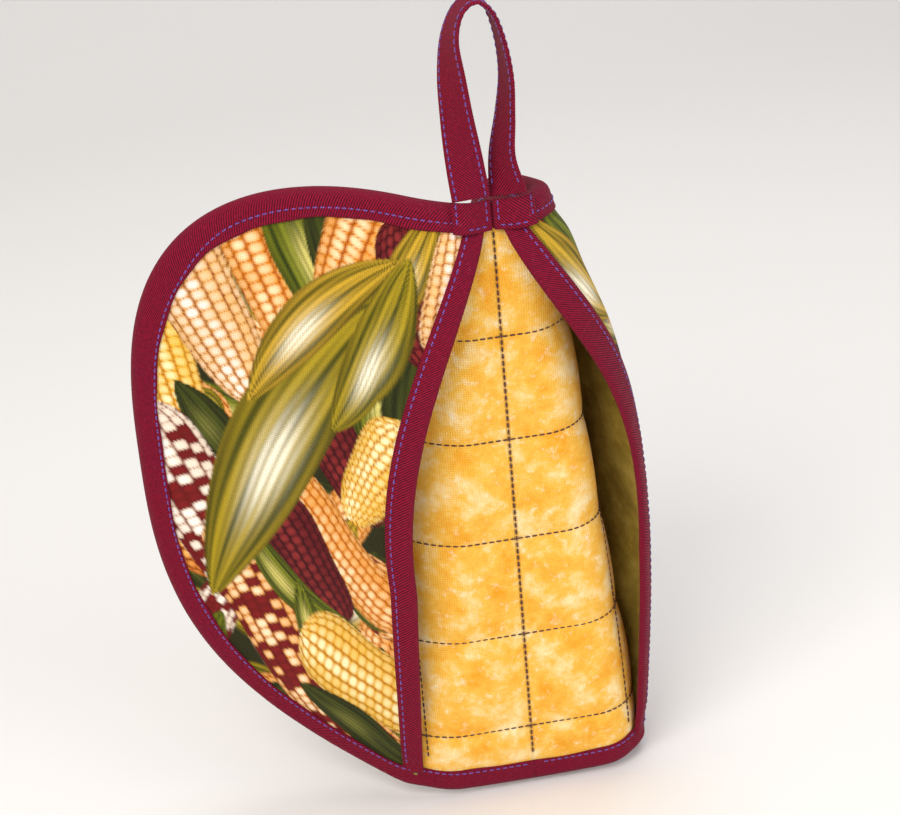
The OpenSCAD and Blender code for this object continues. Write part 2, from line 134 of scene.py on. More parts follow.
def place(side, u, v, h):
    """The cloth point (u, v, h) in metres: flat up to the fold line, then an arc, then a gentler
    arc the other way, each measured square to the leaning fold line, with h along the normal. The
    layers are squeezed together towards the rim, where the tape holds them."""
    u, v, h = np.broadcast_arrays(np.asarray(u, float), np.asarray(v, float), np.asarray(h, float))
    squeeze = RIM_SQUEEZE + (1 - RIM_SQUEEZE) * smooth((1 - inward(u, v)) / RIM_REACH)
    h = RIM_MIDDLE + (h - RIM_MIDDLE) * squeeze
    d = (u - FLAT_U) * np.cos(LEAN) + (v - HALF_HEIGHT) * np.sin(LEAN)
    t = (u - FLAT_U) * np.sin(LEAN) - (v - HALF_HEIGHT) * np.cos(LEAN)
    past = np.maximum(d, 0)
    t = t - LIFT[side] * past * past / (past + LIFT_START)
    turned, beyond = np.minimum(past, BEND[side]), np.maximum(past - BEND[side], 0)
    rate = TURN[side] / BEND[side]
    c1, y1 = arc(0.0, rate, turned)
    c2, y2 = arc(TURN[side], -RELAX[side], beyond)
    a = np.radians(rate * turned - RELAX[side] * beyond)
    c = np.minimum(d, 0) + c1 + c2 + h * np.sin(a)
    y = y1 + y2 - h * np.cos(a)
    x = side * (FLAT_U + t * np.sin(LEAN) + c * np.cos(LEAN))
    z = HALF_HEIGHT - t * np.cos(LEAN) + c * np.sin(LEAN)
    return np.stack([x, y, z], -1) * MM


def hinge_u(v):
    """Distance of the hinge line from the middle at height v."""
    return FLAT_U + (HINGE - (v - HALF_HEIGHT) * np.sin(LEAN)) / np.cos(LEAN)


def way(v):
    """How far down the pocket mouth a height is, from 0 at the top to 1 at the bottom."""
    return np.clip((MOUTH_TOP - v) / (2 * MOUTH_TOP), 0, 1)


MOUTH_START, MOUTH_KNEE = 3.0, 0.62    # the mouth's top end, and the share of its height that is curved


def mouth(v):
    """Distance of the pocket mouth from the middle: a quarter sine, then a slight slope outwards."""
    w = way(v)
    rise = np.sin(np.pi / 2 * np.minimum(1, w / MOUTH_KNEE))
    slope = np.clip((w - MOUTH_KNEE) / (1 - MOUTH_KNEE), 0, 1)
    return MOUTH_START + (MOUTH_U - MOUTH_START) * rise + (MOUTH_LOW - MOUTH_U) * slope


def gape(side, u, v):
    """How far a pocket stands off the palm: a half sine down its height, falling to the rim."""
    m, e, top = mouth(v), half_width(v, BAND + RIM_INSIDE), half_height(u, BAND + RIM_INSIDE)
    q = np.clip((u - m) / np.maximum(1, e - m), 0, 1)
    w = np.clip((top - v) / np.maximum(1, 2 * top), 0, 1)
    return GAPE[side] * np.sin(np.pi * w ** GAPE_SKEW) * np.cos(np.pi / 2 * q) ** 1.3


def puff(u, v):
    """How far the quilting swells: a rounded pillow in each square, dying out towards the rim."""
    across = np.abs(np.sin(np.pi * u / QUILT_PITCH))
    along = np.abs(np.sin(np.pi * (v - QUILT_ROW) / QUILT_PITCH))
    return (across * along) ** 0.5 * smooth((0.95 - inward(u, v)) / 0.16)


# ---------------------------------------------------------------- mesh making
def add_mesh(name, points, faces, uv, colour=None):
    """One mesh object from points in metres, quads, a UV in metres a point and a linear colour."""
    mesh = bpy.data.meshes.new(name)
    mesh.vertices.add(len(points))
    mesh.vertices.foreach_set("co", points.astype(np.float32).ravel())
    mesh.loops.add(faces.size)
    mesh.loops.foreach_set("vertex_index", faces.astype(np.int32).ravel())
    mesh.polygons.add(len(faces))
    mesh.polygons.foreach_set("loop_start", np.arange(0, faces.size, 4, dtype=np.int32))
    mesh.polygons.foreach_set("use_smooth", np.ones(len(faces), bool))
    layer = mesh.uv_layers.new(name="cloth")
    layer.data.foreach_set("uv", uv[faces.ravel()].astype(np.float32).ravel())
    if colour is not None:
        ink = mesh.color_attributes.new("ink", "FLOAT_COLOR", "POINT")
        tones = np.concatenate([colour, np.ones((len(colour), 1))], 1)
        ink.data.foreach_set("color", tones.astype(np.float32).ravel())
    mesh.update(calc_edges=True)
    mesh.validate()
    obj = bpy.data.objects.new(name, mesh)
    bpy.context.scene.collection.objects.link(obj)
    return obj


def quads(rows, cols, first=0):
    """Faces of a grid of rows by cols points, numbered from first."""
    i, j = np.meshgrid(np.arange(rows - 1), np.arange(cols - 1), indexing="ij")
    a = first + (i * cols + j).ravel()
    return np.stack([a, a + 1, a + cols + 1, a + cols], 1)


def add_shell(name, side, outer, inner, uv, colour=None):
    """A closed sheet between two grids of points: both faces, and a strip round their edge."""
    rows, cols = outer.shape[:2]
    n = rows * cols
    index = np.arange(n).reshape(rows, cols)
    edge = np.concatenate([index[0, :-1], index[:-1, -1], index[-1, :0:-1], index[:0:-1, 0]])
    after = np.roll(edge, -1)
    front, back = quads(rows, cols), quads(rows, cols, n)[:, ::-1]
    strip = np.stack([edge, edge + n, after + n, after], 1)
    faces = np.concatenate([front, back, strip])
    points = np.concatenate([outer.reshape(-1, 3), inner.reshape(-1, 3)])
    if side < 0:
        faces = faces[:, ::-1]
    both = None if colour is None else np.concatenate([colour.reshape(-1, 3)] * 2)
    return add_mesh(name, points, faces, np.concatenate([uv.reshape(-1, 2)] * 2), both)


STITCH_RINGS = np.array([-0.5, -0.36, 0.0, 0.36, 0.5])
STITCH_GIRTH = np.array([0.25, 0.8, 1.0, 0.8, 0.25])
STITCH_SIDES = 6


def stitch_row(path, normal, stitch):
    """Points, faces and UV of a row of stitches: each a short round bead along the path, low at
    both ends, at even distances along it."""
    pitch, length, width = (size * MM for size in stitch)
    step = np.linalg.norm(np.diff(path, axis=0), axis=1)
    run = np.concatenate([[0], np.cumsum(step)])
    count = int((run[-1] - pitch * 0.5) / pitch)
    at = (np.arange(count) + 0.5) * pitch
    centre, up, ahead = (
        np.stack([np.interp(at, run, array[:, k]) for k in range(3)], 1)
        for array in (path, normal, np.gradient(path, axis=0)))
    ahead /= np.linalg.norm(ahead, axis=1, keepdims=True)
    up -= ahead * (up * ahead).sum(1, keepdims=True)
    up /= np.linalg.norm(up, axis=1, keepdims=True)
    wide = np.cross(ahead, up)
    turn = np.arange(STITCH_SIDES) * 2 * np.pi / STITCH_SIDES
    girth = STITCH_GIRTH[:, None] * width / 2
    a = np.repeat(STITCH_RINGS * length, STITCH_SIDES)
    b = (girth * np.cos(turn)).ravel()
    c = (girth * (np.sin(turn) * 0.8 + 0.1)).ravel()
    points = (centre[:, None] + a[:, None] * ahead[:, None] + b[:, None] * wide[:, None]
              + c[:, None] * up[:, None]).reshape(-1, 3)
    ring, k = np.meshgrid(np.arange(len(STITCH_RINGS) - 1), np.arange(STITCH_SIDES), indexing="ij")
    after = (k + 1) % STITCH_SIDES
    base, nxt = ring * STITCH_SIDES, (ring + 1) * STITCH_SIDES
    side_faces = np.stack([base + k, nxt + k, nxt + after, base + after], -1).reshape(-1, 4)
    last = (len(STITCH_RINGS) - 1) * STITCH_SIDES
    caps = np.array([[0, 1, 2, 3], [0, 3, 4, 5], [3, 2, 1, 0], [5, 4, 3, 0]])
    caps[2:] += last
    one = np.concatenate([side_faces, caps])
    faces = (one[None] + (np.arange(count) * len(STITCH_RINGS) * STITCH_SIDES)[:, None, None])
    uv = np.stack([np.tile(a, count) + np.repeat(at, len(a)), np.tile(b, count)], 1)
    return points, faces.reshape(-1, 4), uv


def add_stitches(name, rows):
    """One object from several rows of stitches."""
    points, faces, uv = zip(*rows)
    first = np.cumsum([0] + [len(p) for p in points[:-1]])
    faces = [f + n for f, n in zip(faces, first)]
    return add_mesh(name, np.concatenate(points), np.concatenate(faces), np.concatenate(uv))


def finish_piece(obj, side, material, nodes):
    """Gives a half of the mitt its finish and hides the CAD parts it stands for."""
    obj.data.materials.append(material)
    u0 = hinge_u(0)
    middle = place(side, u0, 0, 0)
    across, along = HINGE_REACH * np.cos(LEAN), HINGE_REACH * np.sin(LEAN)
    start, end = place(side, u0 - across, -along, 0), place(side, u0 + across, along, 0)
    axis = np.array([side * np.sin(LEAN), 0, -np.cos(LEAN)])
    span = end - start
    span -= axis * (span @ axis)
    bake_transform(obj)
    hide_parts(*nodes)


def finish_sewn(obj, material, node):
    """Gives a piece of the loop its finish and hides the CAD part it stands for; its body, if any, is set
    by the caller.
    """
    obj.data.materials.append(material)
    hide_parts(node)


# ---------------------------------------------------------------- colours and materials
def to_linear(colour):
    """An sRGB hex colour as three linear values."""
    c = np.array([int(colour[i:i + 2], 16) for i in (1, 3, 5)]) / 255
    return np.where(c <= 0.04045, c / 12.92, ((c + 0.055) / 1.055) ** 2.4)


def rgba(colour):
    """An sRGB hex colour as linear red, green and blue, and an alpha of 1."""
    return (*to_linear(colour), 1)


def add_node(tree, kind, inputs=(), **settings):
    """Adds a node, sets its properties, and sets or links its inputs by name or number."""
    node = tree.nodes.new(kind)
    for name, value in settings.items():
        setattr(node, name, value)
    for key, value in dict(inputs).items():
        if isinstance(value, bpy.types.NodeSocket):
            tree.links.new(value, node.inputs[key])
        else:
            node.inputs[key].default_value = value
    return node


def new_material(name):
    """A material, its node tree and its shader."""
    material = bpy.data.materials.new(name)
    material.use_nodes = True
    tree = material.node_tree
    return material, tree, tree.nodes["Principled BSDF"]


def noise(tree, uv, size, detail, **more):
    """The factor of a noise with lumps about size millimetres across."""
    inputs = {"Vector": uv, "Scale": 1 / (size * MM), "Detail": detail, **more}
    return add_node(tree, "ShaderNodeTexNoise", inputs).outputs["Fac"]


def remap(tree, value, low, high, to_low, to_high):
    """A value carried from one range to another, held at its ends."""
    inputs = {"Value": value, "From Min": low, "From Max": high, "To Min": to_low, "To Max": to_high}
    return add_node(tree, "ShaderNodeMapRange", inputs).outputs[0]


def mix(tree, much, one, other, **settings):
    """Two colours mixed: much of the other over the one."""
    inputs = {"Factor": much, 6: one, 7: other}
    return add_node(tree, "ShaderNodeMix", inputs, data_type="RGBA", **settings).outputs[2]


def cloth_ground(tree, thread, depth, twill=False):
    """Height of a weave on the piece's own UV: warp and weft ridges, or slanting twill ridges,
    thread millimetres apart, with fine fuzz. Returns sockets: the UV, the height and a normal."""
    uv = add_node(tree, "ShaderNodeUVMap", uv_map="cloth").outputs[0]
    if twill:
        ridge = add_node(tree, "ShaderNodeTexWave", {"Vector": uv, "Scale": 0.628 / (1.41 * thread * MM),
                         "Distortion": 0.6, "Detail": 1.0}, bands_direction="DIAGONAL").outputs["Fac"]
    else:
        warp = add_node(tree, "ShaderNodeTexWave", {"Vector": uv, "Scale": 0.314 / (thread * MM),
                        "Distortion": 0.5, "Detail": 1.0}, bands_direction="X").outputs["Fac"]
        weft = add_node(tree, "ShaderNodeTexWave", {"Vector": uv, "Scale": 0.314 / (thread * MM),
                        "Distortion": 0.5, "Detail": 1.0}, bands_direction="Y").outputs["Fac"]
        ridge = add_node(tree, "ShaderNodeMath", {0: warp, 1: weft}, operation="MAXIMUM").outputs[0]
    fuzz = noise(tree, uv, 1.3, 3.0, Roughness=0.6)
    height = add_node(tree, "ShaderNodeMath", {0: ridge, 1: fuzz}, operation="ADD").outputs[0]
    bump = add_node(tree, "ShaderNodeBump", {"Height": height, "Strength": 0.55, "Distance": depth * MM})
    return uv, height, bump.outputs[0]


def make_matte(tree, shader, tone, bump, rough, sheen, sheen_rough):
    """Sets a cloth's finish: its colour and normal, rough, hardly shiny, with a faint sheen."""
    tree.links.new(tone, shader.inputs["Base Color"])
    tree.links.new(bump, shader.inputs["Normal"])
    shader.inputs["Roughness"].default_value = rough
    shader.inputs["Specular IOR Level"].default_value = 0.15
    shader.inputs["Sheen Weight"].default_value = sheen
    shader.inputs["Sheen Roughness"].default_value = sheen_rough


def set_ramp(ramp, *stops):
    """Sets a colour ramp's stops, each a position and a hex colour."""
    elements = ramp.color_ramp.elements
    while len(elements) < len(stops):
        elements.new(0.5)
    for element, (position, colour) in zip(elements, stops):
        element.position = position
        element.color = rgba(colour)


def printed_cotton():
    """Plain woven quilting cotton with a pigment print: matte, with painted shade in the weave's hollows
    and painted light on its threads.
    """
    material, tree, shader = new_material("printed_quilting_cotton")
    height, bump = cloth_ground(tree, thread=0.9, depth=0.25)[1:]
    ink = add_node(tree, "ShaderNodeVertexColor", layer_name="ink").outputs[0]
    # painted shade and light: the print is darkened in the weave's hollows and lightened on its threads
    shade = remap(tree, height, 0.4, 1.6, 0.86, 1.1)
    tone = add_node(tree, "ShaderNodeVectorMath", {0: ink, "Scale": shade}, operation="SCALE").outputs[0]
    make_matte(tree, shader, tone, bump, rough=0.85, sheen=0.04, sheen_rough=0.6)
    return material


def mottled_cotton(name, dark, middle, light, spark):
    """Batik dyed woven cotton: cloudy patches from a deep to a pale tone, and small bright flecks."""
    material, tree, shader = new_material(name)
    uv, height, bump = cloth_ground(tree, thread=0.9, depth=0.25)
    cloud = noise(tree, uv, 17, 6.0, Roughness=0.66, Distortion=0.15)
    ramp = add_node(tree, "ShaderNodeValToRGB", {"Fac": cloud})
    set_ramp(ramp, (0.32, dark), (0.5, middle), (0.68, light))
    much = remap(tree, noise(tree, uv, 5, 3.0, Roughness=0.7), 0.56, 0.74, 0.0, 0.55)
    tone = mix(tree, much, ramp.outputs[0], rgba(spark))
    # painted shade and light: the colour is darkened in the weave's hollows and lightened on its threads
    shade = remap(tree, height, 0.4, 1.6, 0.9, 1.06)
    tone = add_node(tree, "ShaderNodeVectorMath", {0: tone, "Scale": shade}, operation="SCALE").outputs[0]
    make_matte(tree, shader, tone, bump, rough=0.82, sheen=0.04, sheen_rough=0.6)
    return material


def binding_tape():
    """Twill bias tape, piece dyed crimson: slanting ribs with painted light on them and painted shade
    between them, dyed in uneven flecks.
    """
    material, tree, shader = new_material("crimson_twill_tape")
    uv, height, bump = cloth_ground(tree, thread=0.85, depth=0.3, twill=True)
    # the tape's colour follows the ribs' height: painted shade between the ribs, painted light on them
    ramp = add_node(tree, "ShaderNodeValToRGB", {"Fac": add_node(
        tree, "ShaderNodeMath", {0: height, 1: 0.5}, operation="MULTIPLY").outputs[0]})
    set_ramp(ramp, (0.28, "#4A0420"), (0.52, "#7C0A2C"), (0.78, "#A01238"))
    lint = remap(tree, noise(tree, uv, 1.6, 2.0), 0.64, 0.78, 0.0, 0.4)
    tone = mix(tree, lint, ramp.outputs[0], rgba("#A05058"))
    cast = mix(tree, noise(tree, uv, 30, 2.0), rgba("#F0D8FF"), rgba("#FFD8D0"))
    tone = mix(tree, 1.0, tone, cast, blend_type="MULTIPLY")
    make_matte(tree, shader, tone, bump, rough=0.78, sheen=0.03, sheen_rough=0.5)
    return material


def sewing_thread(name, dark, bright, sheen):
    """Twisted polyester thread: slightly glossy, with painted light on each ply and painted shade between
    them.
    """
    material, tree, shader = new_material(name)
    uv = add_node(tree, "ShaderNodeUVMap", uv_map="cloth").outputs[0]
    ply = add_node(tree, "ShaderNodeTexWave", {"Vector": uv, "Scale": 0.628 / (1.0 * MM),
                   "Distortion": 0.4}, bands_direction="DIAGONAL").outputs["Fac"]
    patch = noise(tree, uv, 7, 2.0)
    # painted light on each ply's crest and painted shade between plies, broken up by uneven patches
    mixed = add_node(tree, "ShaderNodeMath", {0: ply, 1: patch}, operation="MULTIPLY").outputs[0]
    ramp = add_node(tree, "ShaderNodeValToRGB", {"Fac": mixed})
    set_ramp(ramp, (0.05, dark), (0.5, bright))
    bump = add_node(tree, "ShaderNodeBump", {"Height": ply, "Strength": 0.5, "Distance": 0.15 * MM})
    tree.links.new(ramp.outputs[0], shader.inputs["Base Color"])
    tree.links.new(bump.outputs[0], shader.inputs["Normal"])
    shader.inputs["Roughness"].default_value = 0.45
    shader.inputs["Sheen Weight"].default_value = sheen
    return material


def soft_filling(name, dark, pale, rough, metal):
    """Carded wadding, or needled felt with a metallised film: soft lumps a few millimetres across."""
    material, tree, shader = new_material(name)
    uv = add_node(tree, "ShaderNodeUVMap", uv_map="cloth").outputs[0]
    # the lumps' height also sets the colour: painted shade in their hollows, painted light on their tops
    lump = noise(tree, uv, 3, 4.0)
    ramp = add_node(tree, "ShaderNodeValToRGB", {"Fac": lump})
    set_ramp(ramp, (0.0, dark), (1.0, pale))
    bump = add_node(tree, "ShaderNodeBump", {"Height": lump, "Strength": 0.7, "Distance": 0.6 * MM})
    tree.links.new(ramp.outputs[0], shader.inputs["Base Color"])
    tree.links.new(bump.outputs[0], shader.inputs["Normal"])
    shader.inputs["Roughness"].default_value = rough
    shader.inputs["Metallic"].default_value = metal
    return material


PRINT = printed_cotton()
LINING = mottled_cotton("mottled_lining_cotton", "#F0A01C", "#F6BE4C", "#FCE4AC", "#FFF4D8")
# the pockets' insides: the lining cloth darkened to olive, painted shade deep inside the pockets
POCKET_LINING_IN_SHADE = mottled_cotton("pocket_lining_cotton", "#8A7418", "#A89030", "#C8B050", "#D0B040")
TAPE_CLOTH = binding_tape()
TOPSTITCH = sewing_thread("purple_polyester_thread", "#3A1C60", "#8A5CC0", 0.1)
QUILTING = sewing_thread("dark_polyester_thread", "#2A1010", "#6A3A30", 0.1)
WADDING = soft_filling("cotton_wadding", "#E4DCCB", "#FBF7EE", 0.95, 0.0)
REFLECTIVE = soft_filling("metallised_needled_felt", "#A8ABB0", "#D6D8DC", 0.38, 0.8)


# ---------------------------------------------------------------- the harvest print
KERNEL = 3.9       # length of a corn kernel
SOFT_EDGE = 0.5    # over which one printed colour gives way to the next
# each kind of ear: kernel, lit kernel, line between kernels, and the share of its kernels that are dark;
# each kind of leaf: blade, lit belly and edge
ORANGE = ("#F0961C", "#FFE2B0", "#A04406", 0.0)
PALE = ("#F8B85C", "#FFF0E4", "#8A3C0C", 0.0)
YELLOW = ("#F8BC20", "#FFF6C0", "#B4660C", 0.0)
MAROON = ("#5A0C14", "#8A2A28", "#26040A", 0.0)
SPECKLED = ("#F6DCC0", "#FFFAF0", "#6A1414", 0.42)
MIXED = ("#F6A030", "#FFE8C0", "#6A1414", 0.42)
RUST = ("#D0660E", "#F8B860", "#6A2404", 0.0)
HUSK = ("#A08A1A", "#FFF8DC", "#4A4806")
GOLD = ("#C09A28", "#FFF6D8", "#5E5208")
GREEN = ("#6E7414", "#D8CC70", "#2C3608")
DARK = ("#3E4412", "#707030", "#22260C")


def motif_frame(u, v, ends):
    """Share along a motif from its foot to its tip, distance across it, and its length."""
    u0, v0, u1, v1 = ends
    length = np.hypot(u1 - u0, v1 - v0)
    along = ((u - u0) * (u1 - u0) + (v - v0) * (v1 - v0)) / length ** 2
    across = ((u - u0) * (v1 - v0) - (v - v0) * (u1 - u0)) / length
    return along, across, length


def lay(ink, cover, colour):
    """Prints a colour over the cloth's colours, as strongly as cover says."""
    ink += cover[..., None] * (colour - ink)


def cob(ink, u, v, ends, width, inks, rows=8):
    """An ear of corn: a long rounded outline that narrows to its tip, and straight rows of kernels
    that crowd towards its sides, each kernel a rounded block lit on one side."""
    body, pale, dark = (to_linear(c) for c in inks[:3])
    along, across, length = motif_frame(u, v, ends)
    half = width / 2 * np.clip(1 - np.abs(2 * along - 1) ** 4, 0, 1) ** 0.5 * (1.1 - 0.3 * along)
    inside = np.clip((half - np.abs(across)) / SOFT_EDGE + 0.5, 0, 1) * (half > 0)
    turn = np.arcsin(np.clip(across / np.maximum(half, 0.1), -1, 1)) / np.pi
    row = np.floor(turn * rows + 0.5)
    k = along * length / KERNEL + 0.37 * row
    number = np.floor(k)
    side_on, end_on = np.abs(turn * rows - row) * 2, np.abs(k - number - 0.5) * 2
    block = np.clip(1.15 - side_on ** 4 - 0.75 * end_on ** 6, 0, 1)
    chance = np.abs(np.sin(row * 12.99 + number * 78.2)) * 437.5 % 1
    middle = np.exp(-((turn + 0.08) / 0.16) ** 2)
    shine = np.clip(1.1 - side_on ** 2 - end_on ** 2, 0, 1) * (0.25 + 0.75 * middle) * (0.4 + 0.6 * chance)
    shade = (1 - 0.5 * np.abs(2 * turn) ** 2.5)[..., None]
    tone = body * shade
    tone = tone + np.clip(1.5 * shine, 0, 1)[..., None] * (pale - tone)
    spotted = (chance < inks[3])[..., None]
    tone = np.where(spotted, dark * (1 + shine[..., None]), tone)
    lay(ink, inside, dark * shade + (block ** 1.2)[..., None] * (tone - dark * shade))


def leaf(ink, u, v, ends, width, inks, bow=0.0):
    """A husk leaf: a bowed blade that tapers to both ends, finely streaked along its length, with
    a pale sheen on its belly and dark edges."""
    body, pale, dark = (to_linear(c) for c in inks)
    along, across, length = motif_frame(u, v, ends)
    across = across - bow * 4 * along * (1 - along)
    half = width / 2 * np.clip(np.sin(np.pi * np.clip(along, 0, 1)), 0, 1) ** 0.7
    inside = np.clip((half - np.abs(across)) / SOFT_EDGE + 0.5, 0, 1) * (half > 0.05)
    q = across / np.maximum(half, 0.1)
    streak = 0.5 + 0.22 * np.cos(q * 23 + 1.4 * np.sin(along * 5)) + 0.28 * np.cos(q * 9 + 2 + along * 3)
    fray = 0.5 + 0.5 * np.sin(q * 31 + 2 * np.sin(along * 9))
    light = np.exp(-((q + 0.15) / 0.34) ** 2 - ((along - 0.42) / 0.15) ** 2) * (0.45 + 0.75 * fray)
    blade = np.clip(1.5 * streak - 0.15 + 0.3 * fray * streak, 0, 1.25)
    tone = dark + (body - dark) * blade[..., None]
    tone = tone + np.clip(1.15 * light, 0, 1)[..., None] * (pale - tone)
    tone = tone * (1 - 0.55 * np.clip((np.abs(q) - 0.72) / 0.28, 0, 1))[..., None]
    lay(ink, inside, tone)


def harvest(u, v, seed):
    """The all-over print: dark ground, then ears and leaves strewn on a jittered grid."""
    chance = np.random.RandomState(seed)
    ink = np.zeros(u.shape + (3,)) + to_linear("#2A2A10")
    kinds = (ORANGE, YELLOW, MAROON, PALE, ORANGE, RUST, SPECKLED, MIXED)
    spots = [(a, b) for a in np.arange(-170, 175, 34) for b in np.arange(-130, 135, 34)]
    for turn in range(2):
        for a, b in spots:
            a, b = a + chance.uniform(-12, 12), b + chance.uniform(-12, 12)
            way_round, length = chance.uniform(0, np.pi), chance.uniform(38, 62)
            da, db = np.cos(way_round) * length / 2, np.sin(way_round) * length / 2
            ends = (a - da, b - db, a + da, b + db)
            kind = kinds[chance.randint(len(kinds))]
            husk = (HUSK, DARK, GOLD, GREEN)[chance.randint(4)]
            bow = chance.uniform(-8, 8)
            if turn == 0:
                leaf(ink, u, v, ends, chance.uniform(14, 24), husk, bow)
            else:
                cob(ink, u, v, ends, chance.uniform(19, 26), kind)
                near = (a - 0.9 * da, b - 0.9 * db, a + 0.25 * da + bow, b + 0.25 * db)
                leaf(ink, u, v, near, chance.uniform(10, 16), husk, bow / 2)
    return ink


# the motifs that are seen best, from the bottom one up: ends (u, v, u, v), width, kind, and an ear's
# rows of kernels or a leaf's bow
THUMB_PRINT = (
    (leaf, (132, 96, 100, 126), 20, DARK), (leaf, (118, 40, 98, 128), 14, GREEN),
    (cob, (106, 122, 74, 50), 30, ORANGE, 6), (leaf, (60, 66, 92, 130), 26, GREEN),
    (leaf, (50, 70, 72, 126), 22, DARK), (cob, (44, 126, 64, 76), 29, ORANGE, 6),
    (cob, (143, 74, 128, 8), 25, YELLOW, 6), (leaf, (134, 36, 104, 0), 20, DARK),
    (cob, (142, 116, 100, 34), 38, PALE, 8), (leaf, (46, 24, 40, 84), 26, GREEN),
    (leaf, (34, 20, 26, 80), 22, DARK), (cob, (86, 58, 46, 0), 30, MAROON, 9),
    (cob, (36, 118, 24, 66), 22, MAROON, 9), (leaf, (44, 70, 20, 126), 15, GOLD),
    (cob, (24, 72, 14, 122), 12, PALE, 5), (cob, (32, 44, 60, -2), 25, YELLOW, 11),
    (cob, (150, 24, 108, -60), 38, SPECKLED, 8), (cob, (124, -20, 82, -112), 32, MIXED, 8),
    (cob, (100, 12, 38, -46), 31, ORANGE, 9), (cob, (100, -2, 68, -50), 30, MAROON, 8),
    (leaf, (112, -14, 62, -52), 17, GREEN, -13.0), (leaf, (90, -38, 84, -82), 13, GREEN),
    (cob, (92, -62, 32, -88), 42, YELLOW, 9), (leaf, (96, -88, 44, -116), 18, DARK),
    (leaf, (130, -56, 36, 92), 38, HUSK, 10.0), (leaf, (104, 34, 34, 104), 20, GOLD, 6.0),
    (leaf, (66, 32, 30, 106), 22, HUSK, -4.0),
)
FINGER_PRINT = (
    (cob, (44, 126, 62, 44), 30, ORANGE, 7), (leaf, (52, 62, 20, 124), 20, GREEN, -3.0),
    (leaf, (40, 66, 12, 120), 19, GOLD, -3.0), (cob, (50, 62, 60, -6), 27, ORANGE, 8),
    (leaf, (44, 8, 54, -70), 24, HUSK, 4.0), (cob, (62, -30, 66, -100), 30, MAROON, 8),
)


def pocket_ink(side, u, v):
    """The print on a pocket: the all-over print, with the ears that are seen best laid over it."""
    ink = harvest(side * u, v, seed=11)
    for shape, ends, width, inks, *more in (THUMB_PRINT if side < 0 else FINGER_PRINT):
        shape(ink, u, v, ends, width, inks, *more)
    return ink


# ---------------------------------------------------------------- the pad
def pad_grid(inset, rows, cols):
    """Cloth coordinates of half a pad: a square grid mapped into the superellipse, so that its
    cells stay even up to the outline."""
    b, a = np.meshgrid(np.linspace(1, -1, rows), np.linspace(0, 1, cols), indexing="ij")
    u = (HALF_WIDTH - inset) * a * (1 - np.abs(b) ** OUTLINE / 2) ** (1 / OUTLINE)
    v = (HALF_HEIGHT - inset) * b * (1 - np.abs(a) ** OUTLINE / 2) ** (1 / OUTLINE)
    return u, v


def add_layer(name, side, inset, grid, outer, inner, swell_out, swell_in, ink=None):
    """A layer of the pad between two levels, each swelling with the quilting by its own amount."""
    u, v = pad_grid(inset, *grid)
    swell = puff(u, v)
    top = place(side, u, v, outer + swell_out * swell)
    low = place(side, u, v, inner + swell_in * swell)
    uv = np.stack([side * u, v], -1) * MM
    colour = None if ink is None else ink(u, v)
    return add_shell(name, side, top, low, uv, colour), top


def pad_nodes(stem, side):
    """The CAD nodes that half a pad layer stands for: its own side, and the thumb half also the
    centre strip."""
    own = [f"{stem}_{END[side]}"]
    return own + [f"{stem}_centre"] if side < 0 else own


def make_pad(word, side):
    """Half of the pad: lining, wadding, reflective layer and printed grip side."""
    palm, cut = add_layer(f"palm_quilt_{word}", side, PAD_EDGE, (180, 110), LINING_OUT, LINING_OUT - 0.6,
                          PUFF_FRONT, PUFF_FRONT)
    finish_piece(palm, side, LINING, pad_nodes("palm_lining", side))

    wadding, _ = add_layer(f"pad_wadding_{word}", side, FILL_EDGE, (70, 44), LINING_OUT - 0.75, -4.35,
                           PUFF_FRONT, -PUFF_BACK)
    finish_piece(wadding, side, WADDING, pad_nodes("batting", side))

    felt, cut = add_layer(f"reflective_layer_{word}", side, FILL_EDGE, (70, 44), -4.5, -5.05,
                          -PUFF_BACK, -PUFF_BACK)
    finish_piece(felt, side, REFLECTIVE, pad_nodes("reflective_layer", side))

    grip, cut = add_layer(f"grip_cover_{word}", side, PAD_EDGE, (250, 165), -5.3, GRIP_OUT,
                          -PUFF_BACK, -PUFF_BACK, lambda u, v: harvest(side * u, v, seed=21))
    finish_piece(grip, side, PRINT, pad_nodes("grip_face", side))


STITCH_RISE = 0.45


def quilting_rows(side, level, swell, way_out):
    """Rows of quilting stitches over half a pad, along every line of the squares, proud of the
    cloth on the face that way_out (1 lining, -1 grip cover) points to."""
    rows = []
    inner = BAND + 1.5
    low = np.ceil((-HALF_HEIGHT + BAND + 4 - QUILT_ROW) / QUILT_PITCH)
    high = np.floor((HALF_HEIGHT - BAND - 4 - QUILT_ROW) / QUILT_PITCH)
    for v in QUILT_ROW + QUILT_PITCH * np.arange(low, high + 1):
        u = np.linspace(0, half_width(v, inner), 160)
        rows.append((u, np.full_like(u, v)))
    for u in QUILT_PITCH * np.arange(0 if side < 0 else 1, 4):
        if u < HALF_WIDTH - inner - 4:
            v = np.linspace(half_height(u, inner), -half_height(u, inner), 200)
            rows.append((np.full_like(v, u), v))
    made = []
    for u, v in rows:
        h = level + swell * puff(u, v) + STITCH_RISE * way_out
        path = place(side, u, v, h)
        normal = (place(side, u, v, h + 1) - path) * way_out
        made.append(stitch_row(path, normal, QUILT_STITCH))
    return made


def make_quilting(word, side):
    """The quilting stitches of half a pad, on the lining and on the grip side."""
    front = add_stitches(f"palm_quilting_{word}", quilting_rows(side, LINING_OUT, PUFF_FRONT, 1))
    finish_piece(front, side, QUILTING, pad_nodes("quilting_palm", side))
    back = add_stitches(f"grip_quilting_{word}", quilting_rows(side, GRIP_OUT, -PUFF_BACK, -1))
    finish_piece(back, side, QUILTING, pad_nodes("quilting_grip", side))


